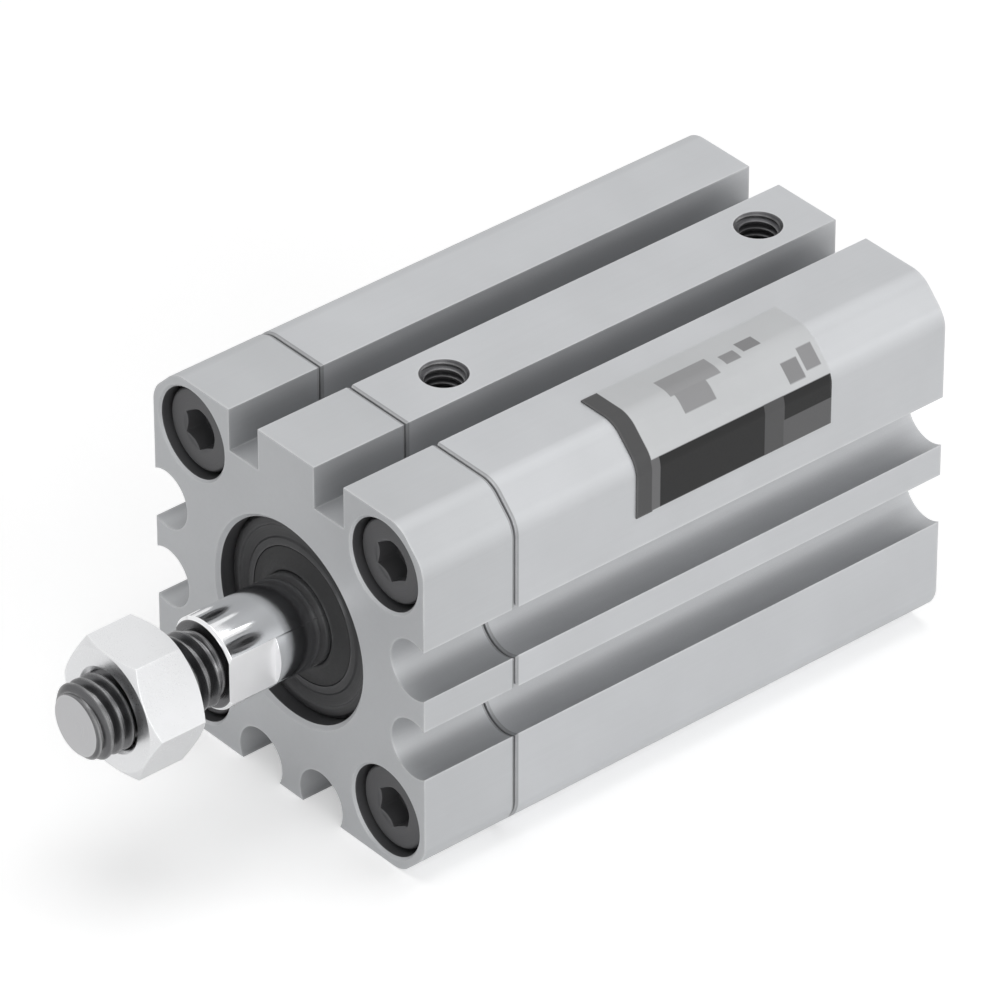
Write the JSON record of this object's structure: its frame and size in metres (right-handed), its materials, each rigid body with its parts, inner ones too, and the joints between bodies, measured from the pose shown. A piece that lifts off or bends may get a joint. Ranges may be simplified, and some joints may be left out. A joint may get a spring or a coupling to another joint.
{
  "type": "compact pneumatic cylinder",
  "caption": "Square-bodied compact air cylinder with slotted sides, a bolted front housing, a sliding threaded rod with a lock nut, top air ports and tapped rear mounting holes.",
  "frame": {"origin": "centre of the rear mounting face, on the bore axis", "axes": "-Y along the rod, the way it comes out; +Y out of the rear face; +Z out of the ported top face; +X out of the label side"},
  "size_m": [0.0251, 0.057, 0.0251],
  "materials": {
    "tube_anodised": "satin clear anodised extrusion",
    "housing_anodised": "satin clear anodised",
    "screw_black_oxide": "black oxide",
    "collar_dark": "black anodised, turned",
    "seal_rubber": "matte",
    "wiper_rubber": "matte",
    "bush_bronze": "sintered, oiled",
    "bumper_urethane": "satin",
    "snap_ring_steel": "dark phosphate",
    "label_film": "satin film with a plain dark band",
    "guide_plastic": "matte",
    "rod_chrome": "hard chrome, ground and polished",
    "piston_aluminium": "turned, chromated",
    "magnet_dark": "bonded magnet",
    "nut_plated": "bright nickel plate"
  },
  "bodies": {
    "cylinder": {"cylinder_tube": "tube_anodised", "front_housing": "housing_anodised", "housing_screws": "screw_black_oxide", "rod_cover": "collar_dark", "rod_cover_o_ring": "seal_rubber", "rod_bush": "bush_bronze", "rod_seal": "seal_rubber", "rod_wiper": "wiper_rubber", "front_bumper": "bumper_urethane", "rear_bumper": "bumper_urethane", "rear_cover": "collar_dark", "rear_cover_o_ring": "seal_rubber", "rear_snap_ring": "snap_ring_steel", "nameplate_label": "label_film"},
    "piston_guides": {"piston_seal": "seal_rubber", "wear_ring": "guide_plastic"},
    "rod": {"piston_rod": "rod_chrome", "piston_front": "piston_aluminium", "piston_rear": "piston_aluminium", "magnet_ring": "magnet_dark", "rod_o_ring": "seal_rubber", "piston_nut": "nut_plated"},
    "lock_nut": {"rod_end_nut": "nut_plated"}
  },
  "joints": [
    {"name": "rod_slide", "type": "slide", "parent": "cylinder", "child": "piston_guides", "axis": [0, -1, 0], "range_m": [0, 0.01]},
    {"name": "rod_turn", "type": "hinge", "parent": "piston_guides", "child": "rod", "pos_m": [0, -0.012, 0], "axis": [0, -1, 0], "continuous": true},
    {"name": "lock_nut_turn", "type": "hinge", "parent": "rod", "child": "lock_nut", "pos_m": [0, -0.0526, 0], "axis": [0, -1, 0], "continuous": true}
  ]
}
